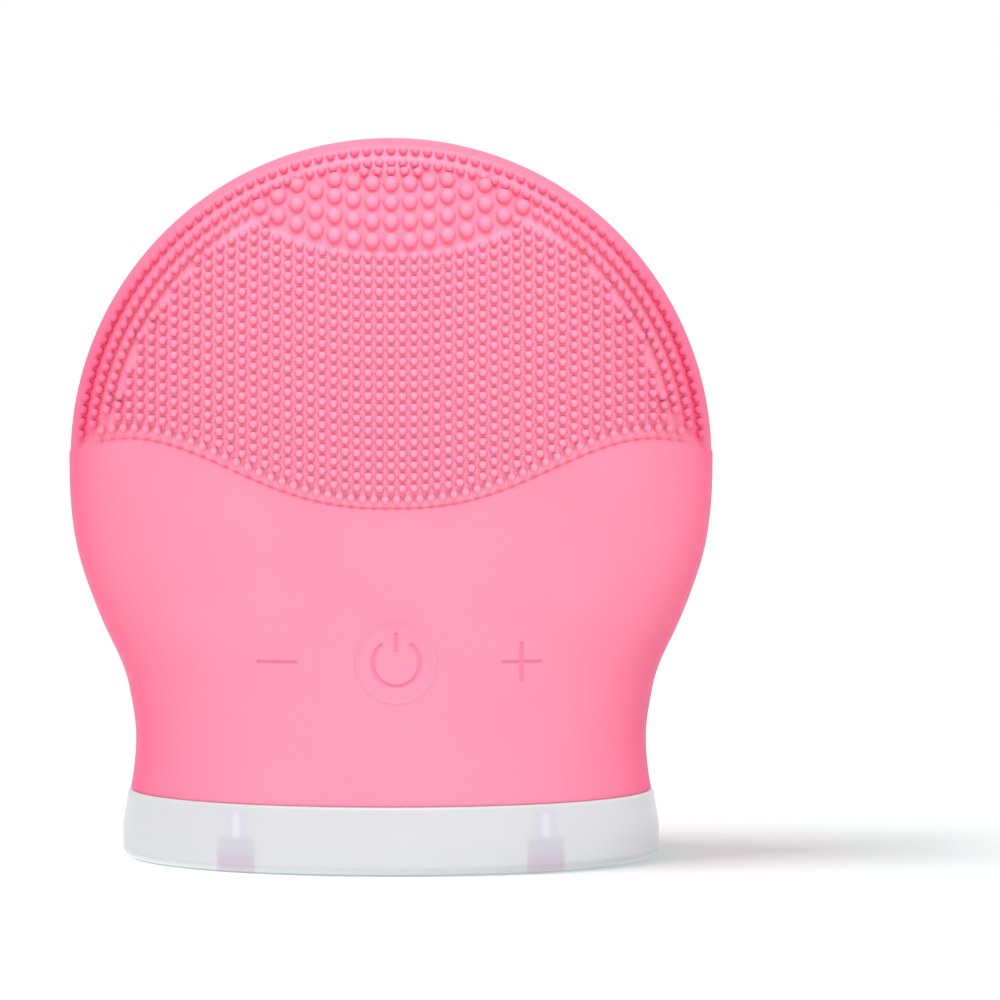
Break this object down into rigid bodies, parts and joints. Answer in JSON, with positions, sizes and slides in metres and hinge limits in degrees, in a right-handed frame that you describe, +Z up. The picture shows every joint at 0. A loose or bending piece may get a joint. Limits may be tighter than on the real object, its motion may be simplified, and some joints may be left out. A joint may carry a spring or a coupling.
{
  "type": "facial cleansing brush",
  "caption": "Handheld silicone facial cleansing brush with a round bristled head, a waisted grip with press keys and a flat frosted base.",
  "frame": {"origin": "middle of the flat underside of the base cap", "axes": "+Z up through the head, -Y out of the face with the keys, +X to the right seen from the front"},
  "size_m": [0.075, 0.038, 0.0839],
  "materials": {
    "silicone": "satin",
    "key_silicone": "satin",
    "plug_silicone": "satin",
    "shell_plastic": "satin",
    "frosted_plastic": "frosted",
    "strap_plastic": "satin",
    "steel": "satin",
    "gold_plate": "polished",
    "board": "satin",
    "chip": "matte",
    "lamp": "gloss",
    "cell_foil": "satin",
    "foam": "matte",
    "rubber": "matte",
    "weight_metal": "satin",
    "red_wire": "satin",
    "black_wire": "satin"
  },
  "bodies": {
    "brush": {"base_cap": "frosted_plastic", "base_screw_back_left": "steel", "base_screw_back_right": "steel", "base_screw_front_left": "steel", "base_screw_front_right": "steel", "battery_cell": "cell_foil", "battery_foam": "foam", "battery_lead_black": "black_wire", "battery_lead_red": "red_wire", "board_screw_left": "steel", "board_screw_right": "steel", "charger_chip": "chip", "charging_contact_left": "gold_plate", "charging_contact_right": "gold_plate", "charging_lead_left": "red_wire", "charging_lead_right": "black_wire", "controller_chip": "chip", "front_housing": "shell_plastic", "housing_screw_lower_left": "steel", "housing_screw_lower_right": "steel", "housing_screw_upper_left": "steel", "housing_screw_upper_right": "steel", "main_board": "board", "minus_switch": "chip", "motor_can": "steel", "motor_end_cap": "strap_plastic", "motor_isolator": "rubber", "motor_lead_black": "black_wire", "motor_lead_red": "red_wire", "motor_strap": "strap_plastic", "plus_switch": "chip", "power_switch": "chip", "rear_housing": "shell_plastic", "screw_plug_back_left": "plug_silicone", "screw_plug_back_right": "plug_silicone", "screw_plug_front_left": "plug_silicone", "screw_plug_front_right": "plug_silicone", "silicone_sleeve": "silicone", "status_lamp": "lamp", "strap_screw_left": "steel", "strap_screw_right": "steel"},
    "minus_key": {"minus_key": "key_silicone"},
    "power_key": {"power_key": "key_silicone"},
    "plus_key": {"plus_key": "key_silicone"},
    "minus_plunger": {"minus_plunger": "steel"},
    "power_plunger": {"power_plunger": "steel"},
    "plus_plunger": {"plus_plunger": "steel"},
    "rotor": {"motor_shaft": "steel", "eccentric_weight": "weight_metal"}
  },
  "joints": [
    {"name": "minus_key_press", "type": "slide", "parent": "brush", "child": "minus_key", "axis": [0, 1, 0], "range_m": [0, 0.0005], "stiffness_N_per_m": 2500},
    {"name": "minus_plunger_press", "type": "slide", "parent": "brush", "child": "minus_plunger", "axis": [0, 1, 0], "range_m": [0, 0.0003]},
    {"name": "power_key_press", "type": "slide", "parent": "brush", "child": "power_key", "axis": [0, 1, 0], "range_m": [0, 0.0005], "stiffness_N_per_m": 2500},
    {"name": "power_plunger_press", "type": "slide", "parent": "brush", "child": "power_plunger", "axis": [0, 1, 0], "range_m": [0, 0.0003]},
    {"name": "plus_key_press", "type": "slide", "parent": "brush", "child": "plus_key", "axis": [0, 1, 0], "range_m": [0, 0.0005], "stiffness_N_per_m": 2500},
    {"name": "plus_plunger_press", "type": "slide", "parent": "brush", "child": "plus_plunger", "axis": [0, 1, 0], "range_m": [0, 0.0003]},
    {"name": "motor_spin", "type": "hinge", "parent": "brush", "child": "rotor", "pos_m": [0, 0, 0.0662], "axis": [0, 0, 1], "continuous": true}
  ],
  "couplings": [
    {"joint": "minus_plunger_press", "follows": "minus_key_press", "ratio": 0.5},
    {"joint": "power_plunger_press", "follows": "power_key_press", "ratio": 0.5},
    {"joint": "plus_plunger_press", "follows": "plus_key_press", "ratio": 0.5}
  ]
}
